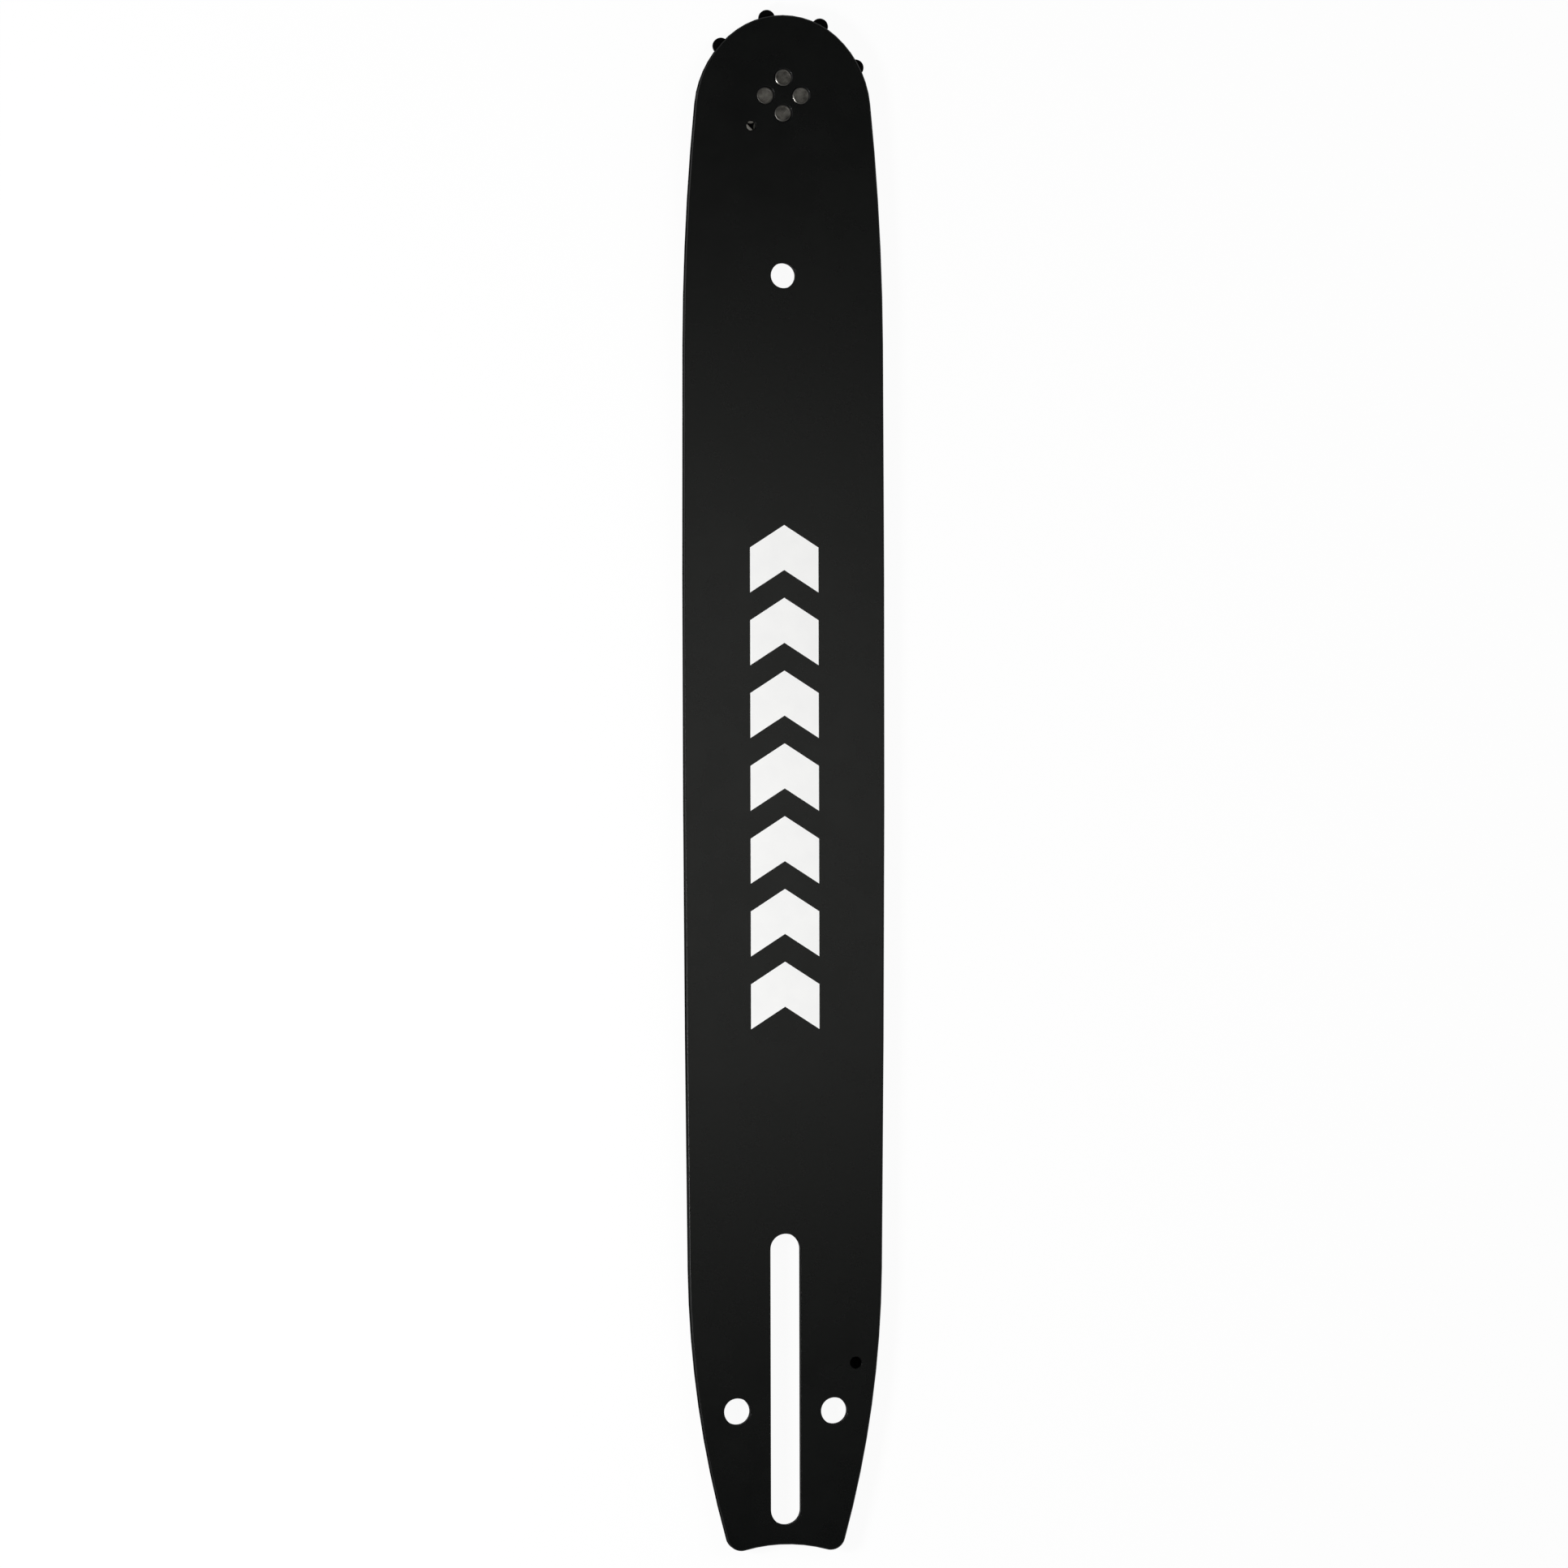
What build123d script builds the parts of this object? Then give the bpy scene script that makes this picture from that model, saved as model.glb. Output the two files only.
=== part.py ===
from build123d import *
import os
from itertools import pairwise
from math import asin, atan2, cos, degrees, pi, radians, sin, sqrt

# A laminated guide bar with a sprocket nose, for a small chainsaw.
#
# Two side plates are welded flat against a narrower core plate, so that a groove runs round
# the edge in which the chain's drive links slide. In the nose a star sprocket carries the
# chain round the tip. It turns on a ring of loose rollers about a fixed inner race, and four
# rivets clamp that race between the side plates.
#
# The origin is the centre of the slot for the saw's bar studs, on the rear face. +Y runs along
# the bar to the nose, +X across it and +Z out of the front face. Lengths are millimetres and
# headings are degrees, counted from +X towards +Y.

# Laminations
plate_thickness = 1.3
core_thickness = 1.4
groove_depth = 5.6
rail_chamfer = 0.35

# Outline, from the nose to the tail
bar_width = 54.0
nose_axis_y = 342.6
nose_half_span = 42.0
shoulder_radius = 28.0
flank_length = 66.5
belly_radius = 15000.0
belly_from_nose = 138.4
tail_length = 73.4
tail_radius = 284.0
tail_corner_radius = 3.9
tail_hollow_radius = 41.5
tail_wall = 5.1

# Openings through all three plates
slot_width = 8.2
slot_length = 77.8
tensioner_hole_radius = 3.6
tensioner_hole_wall = 0.65
tensioner_hole_y = -8.5
hanging_hole_radius = 3.4
hanging_hole_from_nose = 48.0

# Oil inlet of each side plate, and the pocket in the core that leads it into the groove
oil_hole_radius = 1.6
oil_hole_inset = 5.7
oil_hole_y = 4.3
oil_pocket_clearance = 0.6

# Roller bearing in the nose
roller_count = 20
roller_radius = 1.6
roller_spacing = 0.085
running_clearance = 0.025
side_clearance = 0.05
grease_hole_radius = 1.3
grease_hole_from_bore = 0.3
grease_hole_heading = 223.4

# Star sprocket
tooth_count = 9
tooth_heading = 101.4
tooth_tip_radius = 2.2
tooth_reach = 1.85
tooth_depth = 5.25
sprocket_ring = 4.12
pocket_clearance = 0.7

# Rivets
rivet_count = 4
rivet_circle_radius = 4.75
rivet_radius = 2.2
rivet_clearance = 0.02
rivet_flare = 0.3
rivet_flare_depth = 0.35
rivet_recess = 0.05

# Sizes worked out from those above
bar_thickness = 2 * plate_thickness + core_thickness
roller_pitch_radius = (roller_radius + roller_spacing / 2) / sin(pi / roller_count)
race_radius = roller_pitch_radius - roller_radius - running_clearance
sprocket_bore_radius = roller_pitch_radius + roller_radius + running_clearance
grease_hole_reach = sprocket_bore_radius - grease_hole_from_bore
sprocket_root_radius = sprocket_bore_radius + sprocket_ring
nose_radius = sprocket_root_radius + tooth_depth
sprocket_tip_radius = nose_radius + tooth_reach
pocket_radius = sprocket_tip_radius + pocket_clearance
turning_thickness = core_thickness - 2 * side_clearance
turning_z = plate_thickness + side_clearance
tail_setback = slot_length / 2 + tail_wall
belly_y = nose_axis_y - belly_from_nose
hanging_hole_y = nose_axis_y - hanging_hole_from_nose
nose_axis = Vector(0, nose_axis_y)


def direction(heading):
    return Vector(cos(radians(heading)), sin(radians(heading)))


def heading_of(vector):
    return degrees(atan2(vector.Y, vector.X))


class Stretch:
    """One round stretch of the outline. A negative radius bends the outline inwards."""

    def __init__(self, centre, radius):
        self.centre = centre
        self.radius = radius

    def at(self, heading, inset=0.0):
        """The point where the outward normal has this heading, moved inwards by the inset."""
        return self.centre + direction(heading) * (self.radius - inset)

    def arc(self, start, end, inset=0.0):
        middle = (start + end) / 2
        return ThreePointArc(self.at(start, inset), self.at(middle, inset), self.at(end, inset))


def shared_heading(first, second):
    """The heading of the outward normal where two tangent stretches meet."""
    return heading_of((second.centre - first.centre) / (first.radius - second.radius))


def right_crossing(first_centre, first_radius, second_centre, second_radius):
    """The crossing of two circles that lies farther to the right."""
    across = second_centre - first_centre
    gap = across.length
    along = (first_radius**2 - second_radius**2 + gap**2) / (2 * gap)
    aside = sqrt(first_radius**2 - along**2)
    foot = first_centre + across * (along / gap)
    side_step = Vector(-across.Y, across.X) * (aside / gap)
    return max(foot + side_step, foot - side_step, key=lambda point: point.X)


def outline_stretches():
    """The tangent stretches of the right-hand edge, from the nose tip to the middle of the tail."""
    nose = Stretch(nose_axis, nose_radius)
    shoulder = Stretch(nose.at(90 - nose_half_span, inset=shoulder_radius), shoulder_radius)
    belly = Stretch(Vector(bar_width / 2 - belly_radius, belly_y), belly_radius)

    # The flank leaves the shoulder and runs into the belly, tangent to both
    flank_end = degrees(asin((nose_axis_y - flank_length - belly_y) / belly_radius))
    reach = belly.at(flank_end) - shoulder.centre
    spare = reach.dot(direction(flank_end)) - shoulder_radius
    flank_radius = (reach.dot(reach) - shoulder_radius**2) / (2 * spare)
    flank = Stretch(belly.at(flank_end, inset=flank_radius), flank_radius)

    # The tail narrows from the belly to a rounded corner beside the hollow end
    tail_start = degrees(asin((tail_length - tail_setback - belly_y) / belly_radius))
    tail = Stretch(belly.at(tail_start, inset=tail_radius), tail_radius)
    hollow = Stretch(Vector(0, -tail_setback - tail_hollow_radius), -tail_hollow_radius)
    corner_centre = right_crossing(
        tail.centre, tail_radius - tail_corner_radius,
        hollow.centre, tail_hollow_radius + tail_corner_radius,
    )
    corner = Stretch(corner_centre, tail_corner_radius)
    return nose, shoulder, flank, belly, tail, corner, hollow


def mirrored_face(edges):
    return make_face([*edges, *(mirror(edge, about=Plane.YZ) for edge in edges)])


def plate_face():
    stretches = outline_stretches()
    headings = [90, *(shared_heading(*pair) for pair in pairwise(stretches)), -90]
    return mirrored_face([
        stretch.arc(start, end)
        for stretch, (start, end) in zip(stretches, pairwise(headings))
    ])


def core_face():
    """The core follows the side plates at the groove's depth and is flush with them at the tail."""
    *edge_stretches, _, hollow = outline_stretches()
    tail = edge_stretches[-1]
    end_point = right_crossing(
        tail.centre, tail_radius - groove_depth, hollow.centre, tail_hollow_radius
    )
    headings = [
        90,
        *(shared_heading(*pair) for pair in pairwise(edge_stretches)),
        heading_of(end_point - tail.centre),
    ]
    edges = [
        stretch.arc(start, end, inset=groove_depth)
        for stretch, (start, end) in zip(edge_stretches, pairwise(headings))
    ]
    edges.append(hollow.arc(heading_of(hollow.centre - end_point), -90))
    face = mirrored_face(edges)
    face -= Pos(nose_axis) * Circle(pocket_radius)
    for side in (1, -1):
        face -= Pos(side * oil_hole_x(), oil_hole_y) * Circle(oil_hole_radius + oil_pocket_clearance)
    return face


def inside_tail(y, inset):
    """The half-width at this height of a line that follows the tail's rail at an inset."""
    tail = outline_stretches()[4]
    rise = (y - tail.centre.Y) / (tail_radius - inset)
    return tail.at(degrees(asin(rise)), inset).X


def oil_hole_x():
    return inside_tail(oil_hole_y, oil_hole_inset)


def tensioner_hole_x():
    """The tensioner holes leave a wall of core beside the groove."""
    return inside_tail(tensioner_hole_y, groove_depth + tensioner_hole_wall + tensioner_hole_radius)


def shared_openings():
    openings = SlotOverall(slot_length, slot_width, rotation=90)
    openings += Pos(0, hanging_hole_y) * Circle(hanging_hole_radius)
    for side in (1, -1):
        openings += Pos(side * tensioner_hole_x(), tensioner_hole_y) * Circle(tensioner_hole_radius)
    return openings


def rivet_places():
    return [Pos(nose_axis) * place for place in PolarLocations(rivet_circle_radius, rivet_count)]


def turned(profile):
    """A solid of revolution about Z from points of radius and height."""
    heights = [height for _, height in profile]
    outline = [(0, heights[0]), *profile, (0, heights[-1])]
    return revolve(make_face(Polyline(*((r, 0, z) for r, z in outline), close=True)), Axis.Z)


def rivet():
    """A straight rivet whose two ends flare out and stop just below the side plates' faces."""
    head_radius = rivet_radius + rivet_flare
    return turned([
        (head_radius, rivet_recess),
        (rivet_radius, rivet_flare_depth),
        (rivet_radius, bar_thickness - rivet_flare_depth),
        (head_radius, bar_thickness - rivet_recess),
    ])


def rivet_seat():
    """The countersunk hole that a rivet fills, in a plate whose outer face is on top."""
    flare_slope = rivet_flare / (rivet_flare_depth - rivet_recess)
    bore_radius = rivet_radius + rivet_clearance
    return turned([
        (bore_radius, 0),
        (bore_radius, plate_thickness - rivet_flare_depth),
        (bore_radius + flare_slope * rivet_flare_depth, plate_thickness),
    ])


def side_plate():
    """A side plate lying on its inner face."""
    plate = extrude(plate_face(), plate_thickness)
    outer_rim = plate.faces().sort_by(Axis.Z)[-1].edges()
    plate = chamfer(outer_rim, rail_chamfer)
    holes = shared_openings()
    holes += Pos(oil_hole_x(), oil_hole_y) * Circle(oil_hole_radius)
    holes += Pos(nose_axis + direction(grease_hole_heading) * grease_hole_reach) * Circle(
        grease_hole_radius
    )
    plate -= extrude(holes, plate_thickness)
    for place in rivet_places():
        plate -= place * rivet_seat()
    return plate


def core_plate():
    return extrude(core_face() - shared_openings(), core_thickness)


def sprocket_face():
    """Round-tipped teeth joined by round gullets, each tangent to its neighbours."""
    half_step = 180 / tooth_count
    tip_centre = sprocket_tip_radius - tooth_tip_radius
    toward_gullet = tip_centre * cos(radians(half_step))
    gullet_radius = (
        sprocket_root_radius**2 + tip_centre**2
        - 2 * sprocket_root_radius * toward_gullet - tooth_tip_radius**2
    ) / (2 * (toward_gullet + tooth_tip_radius - sprocket_root_radius))
    gullet_centre = sprocket_root_radius + gullet_radius

    edges = []
    for tooth in range(tooth_count):
        heading = tooth_heading + 2 * half_step * tooth
        tip = direction(heading) * tip_centre
        before = direction(heading - half_step) * gullet_centre
        after = direction(heading + half_step) * gullet_centre
        start = tip + (before - tip).normalized() * tooth_tip_radius
        end = tip + (after - tip).normalized() * tooth_tip_radius
        next_tip = direction(heading + 2 * half_step) * tip_centre
        next_start = next_tip + (after - next_tip).normalized() * tooth_tip_radius
        edges.append(ThreePointArc(start, direction(heading) * sprocket_tip_radius, end))
        root = direction(heading + half_step) * sprocket_root_radius
        edges.append(ThreePointArc(end, root, next_start))
    return make_face(edges) - Circle(sprocket_bore_radius)


def nose_sprocket():
    return Pos(nose_axis) * extrude(sprocket_face(), turning_thickness)


def inner_race():
    race = Pos(nose_axis) * extrude(Circle(race_radius), core_thickness)
    for place in rivet_places():
        race -= place * extrude(Circle(rivet_radius + rivet_clearance), core_thickness)
    return race


def rollers():
    """The ring of rollers, set so that the grease hole opens over the gap between two of them."""
    step = 360 / roller_count
    roller = extrude(Circle(roller_radius), turning_thickness)
    for number in range(roller_count):
        heading = grease_hole_heading + step * (number + 0.5)
        yield Pos(nose_axis + direction(heading) * roller_pitch_radius) * roller


def main():
    plate = side_plate()
    parts = {
        "side_plate_front": Pos(Z=plate_thickness + core_thickness) * plate,
        "side_plate_rear": Pos(Z=plate_thickness) * Rot(Y=180) * plate,
        "core_plate": Pos(Z=plate_thickness) * core_plate(),
        "nose_sprocket": Pos(Z=turning_z) * nose_sprocket(),
        "bearing_inner_race": Pos(Z=plate_thickness) * inner_race(),
        "nose_rivets": Compound(children=[place * rivet() for place in rivet_places()]),
    }
    for number, roller in enumerate(rollers(), start=1):
        parts[f"bearing_roller_{number:02d}"] = Pos(Z=turning_z) * roller

    os.makedirs("parts", exist_ok=True)
    for name, shape in parts.items():
        shape.label = name
        export_step(shape, f"parts/{name}.step")


if __name__ == "__main__":
    main()
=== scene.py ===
# %% [markdown]
# A guide bar for a chainsaw, dressed for its photograph.
#
# The real bar is a sandwich of three steel plates under satin black paint, with a small star
# sprocket in its nose. The CAD frame already holds every piece at its true size and place, so
# this lesson adds what makes the pieces look real: rounded edges, paint, bare steel and print.

# %% Load the frame
from math import atan2, cos, pi, radians, sin

import bmesh
import bpy
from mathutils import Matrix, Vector


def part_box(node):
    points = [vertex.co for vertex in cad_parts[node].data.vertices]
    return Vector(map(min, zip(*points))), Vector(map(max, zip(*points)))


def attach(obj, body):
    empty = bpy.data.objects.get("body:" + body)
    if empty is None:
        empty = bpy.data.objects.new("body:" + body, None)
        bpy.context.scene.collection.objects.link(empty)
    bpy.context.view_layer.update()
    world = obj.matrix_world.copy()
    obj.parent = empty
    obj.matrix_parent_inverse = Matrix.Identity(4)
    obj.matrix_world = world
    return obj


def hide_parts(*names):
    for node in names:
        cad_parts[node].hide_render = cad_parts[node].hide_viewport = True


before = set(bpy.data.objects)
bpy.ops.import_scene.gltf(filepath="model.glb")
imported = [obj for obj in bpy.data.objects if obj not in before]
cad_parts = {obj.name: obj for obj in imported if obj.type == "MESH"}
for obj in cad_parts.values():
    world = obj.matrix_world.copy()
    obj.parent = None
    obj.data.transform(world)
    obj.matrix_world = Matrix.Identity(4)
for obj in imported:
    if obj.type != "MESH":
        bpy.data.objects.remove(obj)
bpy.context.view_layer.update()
MM = 0.001

# %% [markdown]
# The sizes that several steps share are measured on the frame, not typed in again. If the CAD
# model changes, the dressing follows it.

# %% Measure the frame
def middle_of(node):
    low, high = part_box(node)
    return (low + high) / 2


def size_of(node):
    low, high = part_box(node)
    return high - low


face_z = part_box("side_plate_front")[1].z
nose_centre = middle_of("bearing_inner_race")
roller_nodes = sorted(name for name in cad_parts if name.startswith("bearing_roller"))
roller_radius = size_of(roller_nodes[0]).x / 2
toward_first_roller = middle_of(roller_nodes[0]) - nose_centre
roller_ring_radius = toward_first_roller.xy.length
print(f"The face is {face_z / MM:.2f} mm up, the nose turns about y = {nose_centre.y / MM:.1f} mm")

# %% [markdown]
# Node trees are long to write one socket at a time. Two small helpers make them read like plain
# sums. A Wire is one output socket, and adding or multiplying wires adds a Math node. A Network
# is a tree, and its add() makes any other node: first the node's settings, then its sockets.

# %% Helpers for node trees
class Wire:
    """An output socket that can stand in sums."""

    def __init__(self, network, socket):
        self.network = network
        self.socket = socket

    def _math(self, operation, first, second):
        made = self.network.add("ShaderNodeMath", {"operation": operation}, {0: first, 1: second})
        return made["Value"]

    def __add__(self, other):
        return self._math("ADD", self, other)

    def __radd__(self, other):
        return self._math("ADD", other, self)

    def __sub__(self, other):
        return self._math("SUBTRACT", self, other)

    def __rsub__(self, other):
        return self._math("SUBTRACT", other, self)

    def __mul__(self, other):
        return self._math("MULTIPLY", self, other)

    def __rmul__(self, other):
        return self._math("MULTIPLY", other, self)

    def __truediv__(self, other):
        return self._math("DIVIDE", self, other)

    def __rtruediv__(self, other):
        return self._math("DIVIDE", other, self)


class Network:
    """A node tree that starts empty."""

    def __init__(self, tree):
        self.tree = tree
        tree.nodes.clear()

    def add(self, kind, settings=None, sockets=None):
        """One new node. What comes back holds its output wires by name."""
        node = self.tree.nodes.new(kind)
        for name, value in (settings or {}).items():
            if name == "items":
                set_item_count(node.index_switch_items, value)
            else:
                setattr(node, name, value)
        for name, value in (sockets or {}).items():
            self.plug(value, usable_input(node, name))
        return {out.name: Wire(self, out) for out in node.outputs if not out.is_unavailable}

    def plug(self, value, socket):
        if isinstance(value, Wire):
            self.tree.links.new(value.socket, socket)
        else:
            socket.default_value = value


def usable_input(node, name):
    """A node's input by name, or by number. Some nodes keep unused inputs of the same name."""
    if isinstance(name, int):
        return node.inputs[name]
    return next(socket for socket in node.inputs if socket.name == name and not socket.is_unavailable)


def set_item_count(items, count):
    while len(items) < count:
        items.new()


def grey(level):
    return (level, level, level, 1.0)


print("Helpers ready")

# %% [markdown]
# The camera looks down on the bar, with the nose at the top of the picture. A long lens from over
# two metres keeps the outline free of perspective, as in a catalogue picture. It leans a few
# degrees to the left, so that the left edge and the right wall of each hole just show, and it is
# turned by the fraction of a degree that the bar lies askew in the picture.

# %% Camera
picture_width = 418.3 * MM
picture_centre = Vector((-0.2 * MM, 158.9 * MM, face_z))
picture_turn = radians(-0.13)
camera_lean = radians(7.5)
camera_distance = 2.2


def add_object(name, data):
    """A new object in the scene."""
    added = bpy.data.objects.new(name, data)
    bpy.context.scene.collection.objects.link(added)
    return added


camera = add_object("camera", bpy.data.cameras.new("camera"))
camera.rotation_euler = (0, -camera_lean, picture_turn)
camera.location = picture_centre + camera.rotation_euler.to_matrix() @ Vector((0, 0, camera_distance))
camera.data.lens = camera.data.sensor_width * camera_distance / picture_width
bpy.context.scene.camera = camera
bpy.context.scene.view_settings.view_transform = "Standard"
print(f"The lens is {camera.data.lens:.0f} mm long")

# %% [markdown]
# The room is a low white cove under grey walls and a dark ceiling. Black paint mirrors whatever is
# overhead, so a bright ceiling would turn it grey. The world is white at the horizon, where a low
# view looks past the end of the floor. The walls above give the paint its sheen in slanting views,
# and they fade to the dark ceiling that a camera overhead sees mirrored. A picture of a studio
# could surround the scene instead, but a few named levels are easier to follow and to change.

# %% Room
cove_foot = 0.12
cove_top = 0.4
wall_top = 0.92
wall_level = 0.3
ceiling_level = 0.012


def fade(network, value, start, end, first, last):
    """A soft change from the first level to the last while the value goes from start to end."""
    return network.add(
        "ShaderNodeMapRange",
        {"interpolation_type": "SMOOTHSTEP"},
        {"Value": value, "From Min": start, "From Max": end, "To Min": first, "To Max": last},
    )["Result"]


world = bpy.data.worlds.new("room")
bpy.context.scene.world = world
world.use_nodes = True
room = Network(world.node_tree)
direction = room.add("ShaderNodeTexCoord")["Generated"]
height_seen = room.add("ShaderNodeSeparateXYZ", sockets={"Vector": direction})["Z"]
cove = fade(room, height_seen, cove_foot, cove_top, 1 - wall_level, 0.0)
walls = fade(room, height_seen, cove_top, wall_top, wall_level, ceiling_level)
glow = room.add(
    "ShaderNodeBackground", sockets={"Color": grey(1.0), "Strength": cove + walls}
)["Background"]
room.add("ShaderNodeOutputWorld", sockets={"Surface": glow})
print("The room is white at the horizon, grey above it and dark overhead")

# %% [markdown]
# The floor is a plain white sheet. A lit sheet never comes out quite white, so camera rays and
# mirror rays see it mostly as a glow of strength 1, which is white, with a share of true lit
# surface left in so that the bar still casts its shadow.

# %% Floor
floor_reach = 12.0
floor_gap = 0.05 * MM
floor_level = 0.9
floor_glow_share = 0.94
floor_corners = ((-1, -1), (1, -1), (1, 1), (-1, 1))

floor_finish = bpy.data.materials.new("floor_sheet")
floor_finish.use_nodes = True
sheet = Network(floor_finish.node_tree)
rays = sheet.add("ShaderNodeLightPath")
seen_directly = rays["Is Camera Ray"] + rays["Is Glossy Ray"] + rays["Is Transmission Ray"]
sheet_white = sheet.add("ShaderNodeEmission", sockets={"Color": grey(1.0), "Strength": 1.0})["Emission"]
sheet_lit = sheet.add("ShaderNodeBsdfDiffuse", sockets={"Color": grey(floor_level)})["BSDF"]
sheet_mix = sheet.add(
    "ShaderNodeMixShader",
    sockets={0: seen_directly * floor_glow_share, 1: sheet_lit, 2: sheet_white},
)["Shader"]
sheet.add("ShaderNodeOutputMaterial", sockets={"Surface": sheet_mix})

floor_mesh = bpy.data.meshes.new("floor")
floor_points = [(x * floor_reach, y * floor_reach, -floor_gap) for x, y in floor_corners]
floor_mesh.from_pydata(floor_points, [], [range(len(floor_points))])
floor_mesh.materials.append(floor_finish)
floor = add_object("floor", floor_mesh)
print(f"The floor is {2 * floor_reach:.0f} m wide")

# %% [markdown]
# Four soft lamps. The main one is small and stands close by, low on the left, where it draws a
# bright crescent on each rivet whose rim is polished. A wide one on the right fills in, and is
# hidden from mirror rays so that it draws no second crescent. A weak one overhead is mirrored in
# the middle of the bar and leaves both ends darker. A long strip just above the floor on the left
# is mirrored in the left rail's chamfer.

# %% Lamps
white_light = (1, 1, 1)
warm_light = (1, 1, 0.95)


def soft_lamp(name, heading, elevation, distance, size, power, colour=white_light, mirrored=True):
    """An area lamp that faces the middle of the bar from a heading and an elevation."""
    flat = cos(radians(elevation))
    toward = Vector((cos(radians(heading)) * flat, sin(radians(heading)) * flat, sin(radians(elevation))))
    light = bpy.data.lights.new(name, "AREA")
    light.shape = "RECTANGLE"
    light.size, light.size_y = size
    light.energy = power
    light.color = colour
    lamp = add_object(name, light)
    lamp.location = picture_centre + toward * distance
    lamp.rotation_euler = toward.to_track_quat("Z", "Y").to_euler()
    lamp.visible_glossy = mirrored
    return lamp


lamps = [
    soft_lamp("main_lamp", heading=193, elevation=34, distance=0.6, size=(0.13, 0.13), power=3.5),
    soft_lamp(
        "fill_lamp", heading=25, elevation=36, distance=1.6, size=(1.0, 1.0), power=11, mirrored=False
    ),
    soft_lamp(
        "overhead_lamp", heading=-2, elevation=85, distance=1.25, size=(0.3, 0.3), power=1.0,
        colour=warm_light,
    ),
    soft_lamp("rail_lamp", heading=165, elevation=9, distance=1.5, size=(0.9, 0.25), power=2.4),
]
print("Lamps:", ", ".join(lamp.name for lamp in lamps))

# %% [markdown]
# Every finish starts the same way: a material whose tree ends in one Principled shader, and
# patterns that read Object coordinates, so that they stay on the piece when it moves. A noise
# pattern is given the size of its blotches in millimetres, and a bump its depth.

# %% Helpers for finishes
noise_low = 0.3
noise_high = 0.7


def new_finish(name):
    finish = bpy.data.materials.new(name)
    finish.use_nodes = True
    network = Network(finish.node_tree)
    place = network.add("ShaderNodeTexCoord")["Object"]
    return finish, network, place


def close_finish(network, sockets):
    shader = network.add("ShaderNodeBsdfPrincipled", sockets=sockets)["BSDF"]
    network.add("ShaderNodeOutputMaterial", sockets={"Surface": shader})


def blotches(network, place, size_mm, detail=2.0, roughness=0.5):
    """Soft noise from 0 to 1 with blotches of about this size."""
    return network.add(
        "ShaderNodeTexNoise",
        sockets={"Vector": place, "Scale": 1 / (size_mm * MM), "Detail": detail, "Roughness": roughness},
    )["Fac"]


def stretched(network, noise):
    """Noise seldom leaves the middle of its range. This spreads that middle over 0 to 1."""
    return network.add(
        "ShaderNodeMapRange", sockets={"Value": noise, "From Min": noise_low, "From Max": noise_high}
    )["Result"]


def between(share, low, high):
    """A level that goes from low to high while the share goes from 0 to 1."""
    return low + share * (high - low)


def blend_colours(network, share, first, second):
    return network.add(
        "ShaderNodeMix", {"data_type": "RGBA"}, {"Factor": share, "A": first, "B": second}
    )["Result"]


def raised(network, height, depth_mm):
    """A normal for a pattern that stands up by this depth."""
    return network.add(
        "ShaderNodeBump", sockets={"Strength": 1.0, "Distance": depth_mm * MM, "Height": height}
    )["Normal"]


print("Finish helpers ready")

# %% [markdown]
# The paint is a thin satin black coat, baked on. It is not an even black: seen close it has
# clouds a few centimetres across, smaller mottling, and the fine pebbled skin of sprayed paint.
# One flat colour would look like plastic, so noise of three sizes stands for the three: clouds and
# mottling change colour and gloss a little, and the skin is only a very shallow bump.

# %% Black paint
cloud_size = 38
cloud_share = 0.6
mottle_size = 6
skin_size = 0.9
skin_depth = 0.004
paint_deep = (0.0011, 0.0014, 0.0014, 1.0)
paint_cloudy = (0.0028, 0.0032, 0.0031, 1.0)

black_paint, paint, paint_place = new_finish("black_paint_satin")
clouds = stretched(paint, blotches(paint, paint_place, cloud_size, detail=4.0, roughness=0.6))
mottling = stretched(paint, blotches(paint, paint_place, mottle_size, detail=3.0))
skin = blotches(paint, paint_place, skin_size, detail=1.0)
thinness = clouds * cloud_share + mottling * (1 - cloud_share)
close_finish(paint, {
    "Base Color": blend_colours(paint, thinness, paint_deep, paint_cloudy),
    "Roughness": between(thinness, 0.25, 0.295),
    "Specular IOR Level": 0.15,
    "Normal": raised(paint, skin, skin_depth),
})
print("Paint:", black_paint.name)

# %% [markdown]
# The stamped walls of the plates are torn and rough, and so is the inside of the groove. Paint on
# them has no shine at all. They get a finish of their own with no mirror part, because a smooth
# wall seen at a low angle would mirror the white floor.

# %% Dull paint
torn_size = 0.8
torn_depth = 0.02
torn_deep = grey(0.003)
torn_raised = grey(0.007)

dull_paint, dull_tree, dull_place = new_finish("black_paint_dull")
torn = blotches(dull_tree, dull_place, torn_size, detail=3.0)
close_finish(dull_tree, {
    "Base Color": blend_colours(dull_tree, torn, torn_deep, torn_raised),
    "Roughness": 0.7,
    "Specular IOR Level": 0.0,
    "Normal": raised(dull_tree, torn, torn_depth),
})
print("Walls:", dull_paint.name)

# %% [markdown]
# The core plate shows only at the bottom of the chain groove and in the oil holes. It is bare
# hot-rolled steel that has picked up a film of oil and dust of paint: dark, dull and patchy. The dark
# is partly the oil and partly painted shade: the colour is set near black so that the deep groove and
# the oil holes read as shaded. A metallic shader would mirror the white floor down there, so it is a
# dark surface with hardly any mirror part.

# %% Core steel
patch_size = 4
core_grain_size = 0.4
core_grain_depth = 0.01
# Both colours are near black: oily steel, with painted shade for the groove and the oil holes in it.
oil_and_shade_dark = grey(0.0012)
dust_and_shade_pale = (0.004, 0.0038, 0.0035, 1.0)

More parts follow.
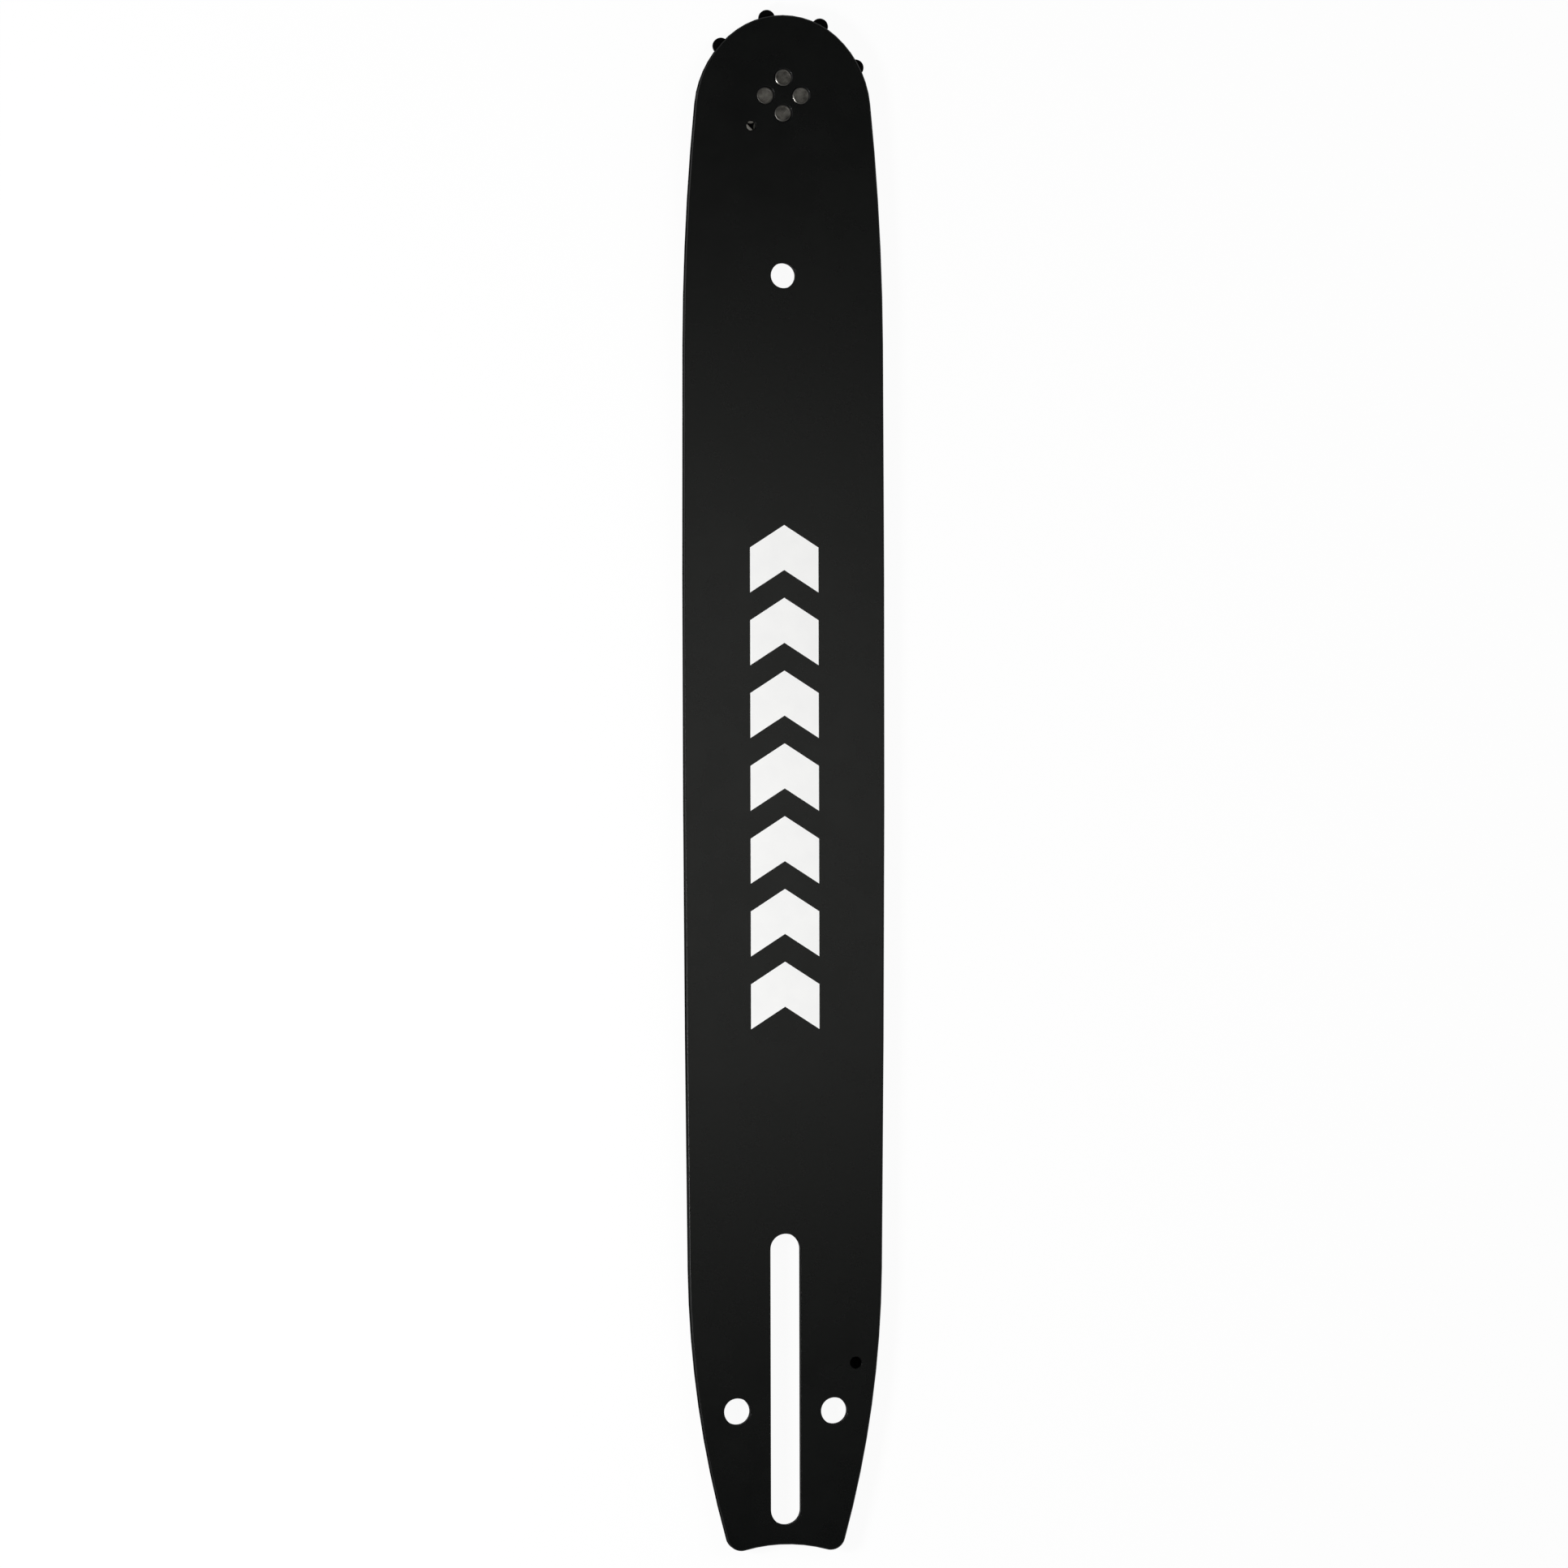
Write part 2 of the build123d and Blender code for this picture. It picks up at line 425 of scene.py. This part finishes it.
core_steel, core_tree, core_place = new_finish("core_steel_dull")
patches = blotches(core_tree, core_place, patch_size, detail=4.0)
core_grain = blotches(core_tree, core_place, core_grain_size)
close_finish(core_tree, {
    "Base Color": blend_colours(core_tree, patches, oil_and_shade_dark, dust_and_shade_pale),
    "Roughness": between(patches, 0.5, 0.7),
    "Specular IOR Level": 0.03,
    "Normal": raised(core_tree, core_grain, core_grain_depth),
})
print("Core:", core_steel.name)

# %% [markdown]
# The sprocket is hardened and blackened in hot salts. The black is part of the steel and not a
# coat on it, so it keeps the stamped surface: matt black with fine grain. Round the bore, where
# the rollers run, the sprocket is ground bright. Two materials could part the two, but no edge of
# the mesh runs between them, so a mask on the distance from the nose axis does it.

# %% Blackened steel
ground_band = 1.3 * MM
ground_edge = 0.1 * MM
salt_size = 3
stamp_grain_size = 0.25
stamp_grain_depth = 0.006
salt_dark = grey(0.0008)
salt_pale = grey(0.002)
ground_bright = (0.46, 0.45, 0.42, 1.0)


def flat_length(network, offset):
    """The length of an offset as it is seen from above."""
    flat = network.add("ShaderNodeVectorMath", {"operation": "MULTIPLY"}, {0: offset, 1: (1, 1, 0)})
    return network.add("ShaderNodeVectorMath", {"operation": "LENGTH"}, {0: flat["Vector"]})["Value"]


ground_reach = roller_ring_radius + roller_radius + ground_band
blackened_steel, black_tree, black_place = new_finish("blackened_steel")
from_nose = black_tree.add(
    "ShaderNodeVectorMath", {"operation": "SUBTRACT"}, {0: black_place, 1: nose_centre}
)["Vector"]
ground = black_tree.add("ShaderNodeMapRange", sockets={
    "Value": flat_length(black_tree, from_nose),
    "From Min": ground_reach,
    "From Max": ground_reach + ground_edge,
    "To Min": 1.0,
    "To Max": 0.0,
})["Result"]
salt_patches = blotches(black_tree, black_place, salt_size, detail=3.0)
stamp_grain = blotches(black_tree, black_place, stamp_grain_size)
salt_black = blend_colours(black_tree, salt_patches, salt_dark, salt_pale)
close_finish(black_tree, {
    "Base Color": blend_colours(black_tree, ground, salt_black, ground_bright),
    "Metallic": ground,
    "Roughness": between(salt_patches, 0.36, 0.48),
    "Specular IOR Level": 0.03,
    "Normal": raised(black_tree, stamp_grain, stamp_grain_depth),
})
print("Sprocket:", blackened_steel.name)

# %% [markdown]
# Rivet ends are bare steel, dulled by the oven that baked the paint. A rolling tool presses them,
# which leaves faint rings about the rivet's own axis, blotches where the metal was pressed harder
# and a rim that slid under the tool. Some rims came out polished and some dull. Rings and rim
# follow each rivet, so they read two values that the rivet's mesh carries: the distance from that
# rivet's axis, and how far its rim is polished.

# %% Marks on a rivet end
axis_distance_name = "axis_distance"
polish_name = "rim_polish"
ring_spacing = 0.42 * MM
pressed_size = 1.7
scuff_size = 0.35
rim_start = 1.85 * MM
rim_full = 1.98 * MM

rivet_steel, rivet_tree, rivet_place = new_finish("rivet_steel_pressed")
from_axis = rivet_tree.add("ShaderNodeAttribute", {"attribute_name": axis_distance_name})["Fac"]
polish = rivet_tree.add("ShaderNodeAttribute", {"attribute_name": polish_name})["Fac"]
ring_phase = from_axis * (2 * pi / ring_spacing)
rings = rivet_tree.add("ShaderNodeMath", {"operation": "SINE"}, {0: ring_phase})["Value"]
presses = blotches(rivet_tree, rivet_place, pressed_size, detail=3.0, roughness=0.6)
pressed = stretched(rivet_tree, presses)
scuffs = blotches(rivet_tree, rivet_place, scuff_size)
rim = fade(rivet_tree, from_axis, rim_start, rim_full, 0.0, 1.0)
print("Marks: rings, pressed blotches, scuffs and a rim")

# %% [markdown]
# The marks then drive the finish. Pressed blotches stand highest, scuffs and rings are shallower,
# and the rim is nearly free of all but the rings. Blotches and scuffs are a little rougher than
# the rest. A dull rim is rougher still, and a polished one smoother.

# %% Rivet steel
rivet_relief = 0.06
pressed_height = 0.5
scuff_height = 0.2
ring_height = 0.05
rim_evenness = 0.9
baked_roughness = 0.32
blotch_roughness = 0.08
dull_rim_roughness = 0.2
polish_smoothness = 0.28
baked_dark = (0.052, 0.05, 0.046, 1.0)
baked_pale = (0.22, 0.211, 0.195, 1.0)
rim_dull = (0.095, 0.092, 0.085, 1.0)
rim_polished = (0.22, 0.213, 0.198, 1.0)

marks = pressed * pressed_height + scuffs * scuff_height
relief = marks * (1 - rim * rim_evenness) + rings * ring_height
baked = blend_colours(rivet_tree, pressed, baked_dark, baked_pale)
rim_colour = blend_colours(rivet_tree, polish, rim_dull, rim_polished)
marked_roughness = baked_roughness + pressed * blotch_roughness + scuffs * blotch_roughness
close_finish(rivet_tree, {
    "Base Color": blend_colours(rivet_tree, rim, baked, rim_colour),
    "Metallic": 1.0,
    "Roughness": marked_roughness + rim * (dull_rim_roughness - polish * polish_smoothness),
    "Normal": raised(rivet_tree, relief, rivet_relief),
})
print("Rivets:", rivet_steel.name)

# %% [markdown]
# Rollers and race are ground bearing steel, smooth with a trace of grease. Ground steel draws its
# highlights out across the grinding marks, and an anisotropic shader could show that. But only a
# few millimetres are ever seen, in the grease hole, and plain metal with two weak noises does there.

# %% Bearing steel
grease_size = 2
grinding_size = 0.2
grinding_depth = 0.002
steel_clean = grey(0.17)
steel_greased = (0.12, 0.113, 0.095, 1.0)

bearing_steel, bearing_tree, bearing_place = new_finish("bearing_steel_ground")
grease = blotches(bearing_tree, bearing_place, grease_size)
grinding = blotches(bearing_tree, bearing_place, grinding_size)
close_finish(bearing_tree, {
    "Base Color": blend_colours(bearing_tree, grease, steel_clean, steel_greased),
    "Metallic": 1.0,
    "Roughness": between(grease, 0.3, 0.46),
    "Normal": raised(bearing_tree, grinding, grinding_depth),
})
print("Bearing:", bearing_steel.name)

# %% [markdown]
# The print is white screen ink, thick enough to hide the black, with a dull, slightly uneven top.
# It could be a mask in the paint's own tree, but ink lies on the paint as a layer, so it gets a
# mesh and a finish of its own.

# %% White ink
film_size = 5
ink_grain_size = 0.3
ink_grain_depth = 0.004
ink_thin = grey(0.84)
ink_full = (0.9, 0.9, 0.89, 1.0)

white_ink, ink_tree, ink_place = new_finish("white_ink")
ink_film = blotches(ink_tree, ink_place, film_size, detail=3.0)
ink_grain = blotches(ink_tree, ink_place, ink_grain_size)
close_finish(ink_tree, {
    "Base Color": blend_colours(ink_tree, ink_film, ink_thin, ink_full),
    "Roughness": between(ink_film, 0.5, 0.65),
    "Normal": raised(ink_tree, ink_grain, ink_grain_depth),
})
print("Print:", white_ink.name)

# %% [markdown]
# No real plate has a perfectly sharp edge: it is broken by tumbling and rounded again by the
# paint. The CAD mesh is loose triangles, which can't be rounded, so a copy has its doubles merged
# and its flat triangles joined. On the side plates only what faces outwards keeps the satin paint,
# and every other face gets the dull one.

# %% Clean copies of CAD pieces
weld_distance = 0.001 * MM
flat_angle = radians(0.02)
wall_limit = 0.5


def clean_copy(name, node, finish, outward):
    """A node's mesh, welded. Where outward is 1 or -1, all but its upper or lower side is dull."""
    shape = bmesh.new()
    shape.from_mesh(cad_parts[node].data)
    bmesh.ops.remove_doubles(shape, verts=shape.verts, dist=weld_distance)
    bmesh.ops.dissolve_limit(shape, angle_limit=flat_angle, verts=shape.verts, edges=shape.edges)
    mesh = bpy.data.meshes.new(name)
    shape.to_mesh(mesh)
    shape.free()
    mesh.attributes.remove(mesh.attributes["custom_normal"])
    mesh.shade_smooth()
    mesh.materials.clear()
    mesh.materials.append(finish)
    if outward:
        mesh.materials.append(dull_paint)
        for face in mesh.polygons:
            face.material_index = int(face.normal.z * outward < wall_limit)
    return mesh


print("Copy helper ready")

# %% [markdown]
# A Bevel modifier rounds what is still sharp. A shader can fake rounded edges too, but the mesh
# itself would keep its sharp ones. The modifier's hardened normals keep the large faces looking flat
# right up to the rounding, and it keeps an even width, because sliding along the odd edges between
# the holes would fold the face over.

# %% Soften the plates, the core, the sprocket and the race
plate_rounding = 0.1 * MM
core_rounding = 0.08 * MM
tooth_rounding = 0.16 * MM
race_rounding = 0.1 * MM
rounding_steps = 3
sharp_angle = radians(28)


def link_piece(name, mesh, body, slot, *nodes):
    """Puts a finished mesh into the scene on its body, in place of these nodes."""
    piece = add_object(name, mesh)
    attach(piece, body)
    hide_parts(*nodes)
    return piece


def softened_copy(name, node, body, slot, finish, rounding, outward=0):
    """A rounded copy of a node, on its body."""
    piece = link_piece(name, clean_copy(name, node, finish, outward), body, slot, node)
    bevel = piece.modifiers.new("broken_edges", "BEVEL")
    bevel.width = rounding
    bevel.segments = rounding_steps
    bevel.limit_method = "ANGLE"
    bevel.angle_limit = sharp_angle
    bevel.use_clamp_overlap = False
    bevel.loop_slide = False
    bevel.harden_normals = True
    return piece


softened = [
    softened_copy(
        "front_plate", "side_plate_front", "bar", "black_paint", black_paint, plate_rounding, outward=1
    ),
    softened_copy(
        "rear_plate", "side_plate_rear", "bar", "black_paint", black_paint, plate_rounding, outward=-1
    ),
    softened_copy("core", "core_plate", "bar", "core_steel", core_steel, core_rounding),
    softened_copy(
        "star_sprocket", "nose_sprocket", "sprocket", "sprocket_steel", blackened_steel, tooth_rounding
    ),
    softened_copy("race", "bearing_inner_race", "bar", "bearing_steel", bearing_steel, race_rounding),
]
print("Softened:", ", ".join(piece.name for piece in softened))

# %% [markdown]
# Rivets, rollers and print are shapes that repeat, so Geometry Nodes trees make them. Each tree
# has named inputs, and it ends by turning its copies into plain mesh with a finish. A tree is run
# once, on a helper object, and only the mesh that comes out of it is kept.

# %% Helpers for Geometry Nodes trees
def start_tree(name, inputs):
    """An empty tree with named inputs. A modifier needs the inputs' identifiers."""
    tree = bpy.data.node_groups.new(name, "GeometryNodeTree")
    identifiers = {
        label: tree.interface.new_socket(label, in_out="INPUT", socket_type=kind).identifier
        for label, kind in inputs.items()
    }
    tree.interface.new_socket("Geometry", in_out="OUTPUT", socket_type="NodeSocketGeometry")
    return Network(tree), identifiers


def end_tree(network, copies, finish):
    solid = network.add("GeometryNodeRealizeInstances", sockets={"Geometry": copies})["Geometry"]
    painted = network.add("GeometryNodeSetMaterial", sockets={"Geometry": solid, "Material": finish})
    network.add("NodeGroupOutput", sockets={"Geometry": painted["Geometry"]})


def made_by_nodes(name, tree, identifiers, values):
    """The plain mesh that a tree makes with these values."""
    maker = add_object(name, bpy.data.meshes.new(name))
    modifier = maker.modifiers.new(name, "NODES")
    modifier.node_group = tree
    for label, value in values.items():
        modifier[identifiers[label]] = value
    depsgraph = bpy.context.evaluated_depsgraph_get()
    mesh = bpy.data.meshes.new_from_object(
        maker.evaluated_get(depsgraph), preserve_all_data_layers=True, depsgraph=depsgraph
    )
    bpy.data.objects.remove(maker)
    mesh.name = name
    return mesh


print("Tree helpers ready")

# %% [markdown]
# Rivets and rollers are turned pieces. A Screw modifier on a drawn line could turn them, but in a
# tree every radius and height has a name. Half of the outline is drawn through points of named
# radius and height, its corners are rounded, and it is swept round a circle. The mesh keeps the
# distance of its points from the piece's own axis, for the finish to read.

# %% Turned piece
turning_steps = 64
corner_steps = 4


def half_outline(network, given, outline):
    """A curve through points of named radius and height, from the top of the axis to its foot."""
    index = network.add("GeometryNodeInputIndex")["Index"]
    settings = {"data_type": "FLOAT", "items": len(outline)}
    radii = {str(row): given[radius] for row, (radius, _) in enumerate(outline)}
    heights = {str(row): given[height] for row, (_, height) in enumerate(outline)}
    radius = network.add("GeometryNodeIndexSwitch", settings, {"Index": index, **radii})["Output"]
    height = network.add("GeometryNodeIndexSwitch", settings, {"Index": index, **heights})["Output"]
    corner = network.add(
        "ShaderNodeCombineXYZ", sockets={"X": radius - given["Sweep radius"], "Y": 0 - height}
    )["Vector"]
    points = network.add("GeometryNodePoints", sockets={"Count": len(outline), "Position": corner})
    line = network.add("GeometryNodePointsToCurves", sockets={"Points": points["Points"]})["Curves"]
    return network.add(
        "GeometryNodeFilletCurve",
        {"mode": "POLY"},
        {"Curve": line, "Radius": given["Corner radius"], "Limit Radius": True, "Count": corner_steps},
    )["Curve"]


def with_value(network, geometry, domain, name, value):
    """The same geometry with a named value on each of its points or copies."""
    return network.add(
        "GeometryNodeStoreNamedAttribute",
        {"data_type": "FLOAT", "domain": domain},
        {"Geometry": geometry, "Name": name, "Value": value},
    )["Geometry"]


def turned_piece(network, given, outline):
    path = network.add(
        "GeometryNodeCurvePrimitiveCircle",
        {"mode": "RADIUS"},
        {"Resolution": turning_steps, "Radius": given["Sweep radius"]},
    )["Curve"]
    swept = network.add(
        "GeometryNodeCurveToMesh",
        sockets={"Curve": path, "Profile Curve": half_outline(network, given, outline)},
    )["Mesh"]
    welded = network.add(
        "GeometryNodeMergeByDistance", sockets={"Geometry": swept, "Distance": weld_distance}
    )["Geometry"]
    position = network.add("GeometryNodeInputPosition")["Position"]
    return with_value(network, welded, "POINT", axis_distance_name, flat_length(network, position))


print("Turning helpers ready")

# %% [markdown]
# One kind of tree then serves rivets and rollers alike: it sets a copy of its turned piece on each
# point of a ring. A copy leans by a random angle, up to the given tilt, and keeps a random share of
# polish for the finish to read.

# %% Turned pieces on a ring
def ring_points(network, given):
    circle = network.add(
        "GeometryNodeMeshCircle", sockets={"Vertices": given["Count"], "Radius": given["Ring radius"]}
    )["Mesh"]
    turn = network.add("ShaderNodeCombineXYZ", sockets={"Z": given["First heading"]})["Vector"]
    return network.add(
        "GeometryNodeTransform",
        sockets={"Geometry": circle, "Translation": given["Centre"], "Rotation": turn},
    )["Geometry"]


def random_lean(network, given):
    tilt = given["Tilt"]
    most = network.add("ShaderNodeCombineXYZ", sockets={"X": tilt, "Y": tilt})["Vector"]
    least = network.add("ShaderNodeVectorMath", {"operation": "SCALE"}, {0: most, "Scale": -1.0})
    return network.add(
        "FunctionNodeRandomValue",
        {"data_type": "FLOAT_VECTOR"},
        {"Min": least["Vector"], "Max": most, "Seed": given["Tilt seed"]},
    )["Value"]


def turned_ring_tree(name, outline):
    """The outline names the radius and the height of each of its points."""
    sizes = dict.fromkeys([size for point in outline for size in point], "NodeSocketFloat")
    network, identifiers = start_tree(name, {
        **sizes,
        "Corner radius": "NodeSocketFloat",
        "Sweep radius": "NodeSocketFloat",
        "Count": "NodeSocketInt",
        "Ring radius": "NodeSocketFloat",
        "First heading": "NodeSocketFloat",
        "Centre": "NodeSocketVector",
        "Tilt": "NodeSocketFloat",
        "Tilt seed": "NodeSocketInt",
        "Polish seed": "NodeSocketInt",
        "Finish": "NodeSocketMaterial",
    })
    given = network.add("NodeGroupInput")
    copies = network.add("GeometryNodeInstanceOnPoints", sockets={
        "Points": ring_points(network, given),
        "Instance": turned_piece(network, given, outline),
        "Rotation": random_lean(network, given),
    })["Instances"]
    share = network.add(
        "FunctionNodeRandomValue",
        {"data_type": "FLOAT"},
        {"Min": 0.0, "Max": 1.0, "Seed": given["Polish seed"]},
    )["Value"]
    copies = with_value(network, copies, "INSTANCE", polish_name, share)
    end_tree(network, copies, given["Finish"])
    return network.tree, identifiers


print("Ring tree ready")

# %% [markdown]
# The four rivets clamp the nose together. Each end was rolled over into its countersunk hole, and
# the tool left a shallow dish, a raised lip round it and a slope down to the rim. A low lamp
# catches the slope on one side and the inside of the lip on the other. No two rivets are set
# quite alike, so each copy is tilted a little at random.

# %% Rivets
rivet_count = 4
rivet_head_radius = 2.5 * MM
rivet_shank_radius = 2.2 * MM
dish_radius = 1.75 * MM
dish_drop = 0.11 * MM
lip_radius = 1.97 * MM
lip_drop = 0.03 * MM
rim_radius = 2.28 * MM
rim_drop = 0.22 * MM
shank_drop = 0.45 * MM
rivet_rounding = 0.08 * MM
rivet_tilt = radians(2.2)
rivet_tilt_seed = 401
rim_polish_seed = 1435

rivet_low, rivet_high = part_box("nose_rivets")
rivet_outline = [
    ("Axis", "Front dish"),
    ("Dish radius", "Front dish"),
    ("Lip radius", "Front lip"),
    ("Rim radius", "Front rim"),
    ("Shank radius", "Front shank"),
    ("Shank radius", "Rear shank"),
    ("Rim radius", "Rear rim"),
    ("Lip radius", "Rear lip"),
    ("Dish radius", "Rear dish"),
    ("Axis", "Rear dish"),
]
rivet_mesh = made_by_nodes("rivets", *turned_ring_tree("turned_rivets", rivet_outline), {
    "Axis": 0.0,
    "Dish radius": dish_radius,
    "Lip radius": lip_radius,
    "Rim radius": rim_radius,
    "Shank radius": rivet_shank_radius,
    "Front dish": rivet_high.z - dish_drop,
    "Front lip": rivet_high.z - lip_drop,
    "Front rim": rivet_high.z - rim_drop,
    "Front shank": rivet_high.z - shank_drop,
    "Rear shank": rivet_low.z + shank_drop,
    "Rear rim": rivet_low.z + rim_drop,
    "Rear lip": rivet_low.z + lip_drop,
    "Rear dish": rivet_low.z + dish_drop,
    "Corner radius": rivet_rounding,
    "Sweep radius": rim_radius,
    "Count": rivet_count,
    "Ring radius": size_of("nose_rivets").x / 2 - rivet_head_radius,
    "First heading": 0.0,
    "Centre": (nose_centre.x, nose_centre.y, 0.0),
    "Tilt": rivet_tilt,
    "Tilt seed": rivet_tilt_seed,
    "Polish seed": rim_polish_seed,
    "Finish": rivet_steel,
})
rivets = link_piece("rivets", rivet_mesh, "bar", "rivet_steel", "nose_rivets")
print(rivets.name, "have", len(rivet_mesh.polygons), "faces")

# %% [markdown]
# The rollers show only through the small grease hole. They are plain cylinders with slightly
# rounded ends. All of them make one mesh, because their ring turns as one body, at its own pace.

# %% Rollers
roller_rounding = 0.15 * MM

roller_low, roller_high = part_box(roller_nodes[0])
roller_outline = [("Axis", "Top"), ("Radius", "Top"), ("Radius", "Foot"), ("Axis", "Foot")]
roller_mesh = made_by_nodes("rollers", *turned_ring_tree("turned_rollers", roller_outline), {
    "Axis": 0.0,
    "Radius": roller_radius,
    "Top": roller_high.z,
    "Foot": roller_low.z,
    "Corner radius": roller_rounding,
    "Sweep radius": roller_radius,
    "Count": len(roller_nodes),
    "Ring radius": roller_ring_radius,
    "First heading": atan2(toward_first_roller.y, toward_first_roller.x),
    "Centre": (nose_centre.x, nose_centre.y, 0.0),
    "Tilt": 0.0,
    "Finish": bearing_steel,
})
rollers = link_piece("rollers", roller_mesh, "roller_ring", "bearing_steel", *roller_nodes)
print(rollers.name, "round the race:", len(roller_nodes))

# %% [markdown]
# The print is a row of plain white arrowheads along the middle, pointing to the nose. A picture on
# the plate would be simpler, but its edges would blur in a close view. So a second tree bends a
# thin block at the points down its middle, which makes one arrowhead, and repeats it along a line.

# %% Tree for a row of arrowheads
block_columns = 3


def arrow_row_tree(name):
    network, identifiers = start_tree(name, {
        "Block": "NodeSocketVector",
        "Half width": "NodeSocketFloat",
        "Rise": "NodeSocketFloat",
        "Count": "NodeSocketInt",
        "First": "NodeSocketVector",
        "Step": "NodeSocketVector",
        "Finish": "NodeSocketMaterial",
    })
    given = network.add("NodeGroupInput")
    block = network.add(
        "GeometryNodeMeshCube", sockets={"Size": given["Block"], "Vertices X": block_columns}
    )["Mesh"]
    position = network.add("GeometryNodeInputPosition")["Position"]
    across = network.add("ShaderNodeSeparateXYZ", sockets={"Vector": position})["X"]
    off_middle = network.add("ShaderNodeMath", {"operation": "ABSOLUTE"}, {0: across})["Value"]
    forward = (1 - off_middle / given["Half width"]) * given["Rise"]
    shift = network.add("ShaderNodeCombineXYZ", sockets={"Y": forward})["Vector"]
    arrow = network.add("GeometryNodeSetPosition", sockets={"Geometry": block, "Offset": shift})
    row = network.add("GeometryNodeMeshLine", sockets={
        "Count": given["Count"],
        "Start Location": given["First"],
        "Offset": given["Step"],
    })["Mesh"]
    copies = network.add(
        "GeometryNodeInstanceOnPoints", sockets={"Points": row, "Instance": arrow["Geometry"]}
    )["Instances"]
    end_tree(network, copies, given["Finish"])
    return network.tree, identifiers


print("Arrowhead tree ready")

# %% [markdown]
# The ink has a real thickness, so its edge catches the light, and its foot is sunk a little into
# the paint.

# %% Printed arrowheads
arrow_count = 7
print_start = 93.5 * MM
print_end = 228.0 * MM
print_width = 18.4 * MM
arrow_stroke = 12.0 * MM
arrow_rise = 6.0 * MM
ink_height = 0.03 * MM
ink_sunk = 0.01 * MM

arrow_pitch = (print_end - print_start - arrow_stroke - arrow_rise) / (arrow_count - 1)
arrow_mesh = made_by_nodes("arrowheads", *arrow_row_tree("printed_arrowheads"), {
    "Block": (print_width, arrow_stroke, ink_height + ink_sunk),
    "Half width": print_width / 2,
    "Rise": arrow_rise,
    "Count": arrow_count,
    "First": (0.0, print_start + arrow_stroke / 2, face_z + (ink_height - ink_sunk) / 2),
    "Step": (0.0, arrow_pitch, 0.0),
    "Finish": white_ink,
})
arrowheads = add_object("arrowheads", arrow_mesh)
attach(arrowheads, "bar")
print("Print:", arrow_count, "arrowheads", f"{arrow_pitch / MM:.1f} mm apart")
